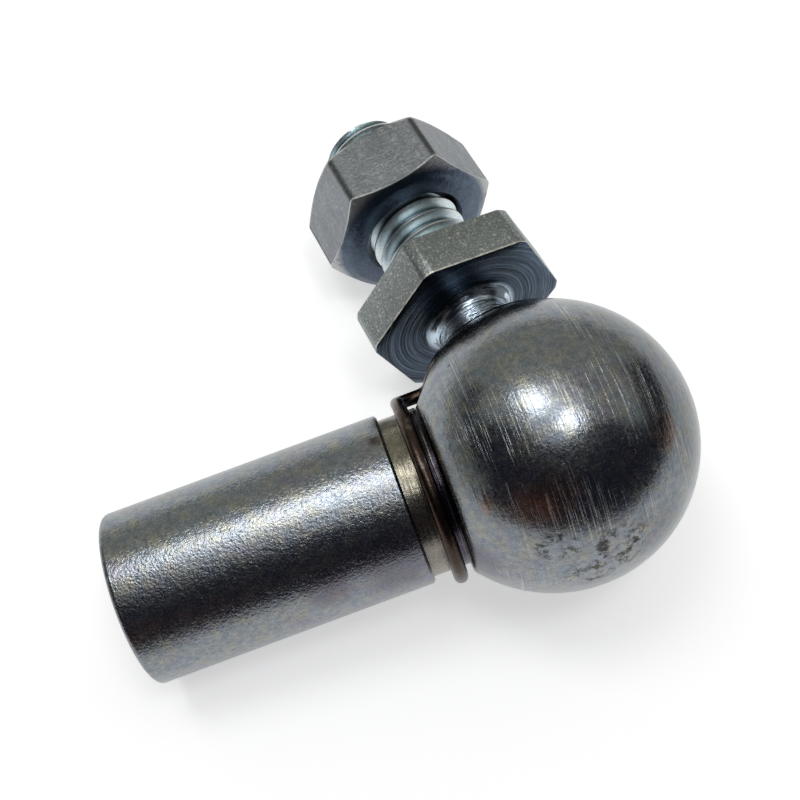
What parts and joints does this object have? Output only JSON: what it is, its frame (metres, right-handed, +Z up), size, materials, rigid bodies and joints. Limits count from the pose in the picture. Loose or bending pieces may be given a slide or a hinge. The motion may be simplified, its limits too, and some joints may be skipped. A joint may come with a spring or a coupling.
{
  "type": "angle ball joint",
  "caption": "Small zinc-plated angle ball joint: a threaded ball stud with a hexagon swivels in a socket whose shank is tapped, and a wire clip keeps it in.",
  "frame": {"origin": "on the surface the joint lies on, under the middle of its bounding box", "axes": "+Z up from that surface; the shank points towards -X and a little towards -Y, and the stud's thread towards +Y"},
  "size_m": [0.0334, 0.0366, 0.0166],
  "materials": {
    "zinc_plated_steel": "turned and zinc plated, mottled with use",
    "polished_steel": "turned and zinc plated",
    "nut_steel": "zinc plated, dull and speckled",
    "spring_wire": "dark drawn spring wire"
  },
  "bodies": {
    "socket": {"ball_socket": "polished_steel", "safety_clip": "spring_wire"},
    "ring": {"snap_ring": "spring_wire"},
    "stud": {"ball_stud": "zinc_plated_steel"},
    "nut": {"hex_nut": "nut_steel"}
  },
  "joints": [
    {"name": "ring_turn", "type": "hinge", "parent": "socket", "child": "ring", "pos_m": [0.00836, -0.0052, 0.0083], "axis": [-0.2666, 0.885, -0.3818], "continuous": true},
    {"name": "stud_tilt", "type": "hinge", "parent": "ring", "child": "stud", "pos_m": [0.00836, -0.0052, 0.0083], "axis": [0.7243, 0.4453, 0.5264], "range_deg": [-35.6, 0.4]},
    {"name": "nut_travel", "type": "slide", "parent": "stud", "child": "nut", "axis": [-0.4464, 0.8847, -0.1342], "range_m": [-0.004, 0.012]}
  ]
}
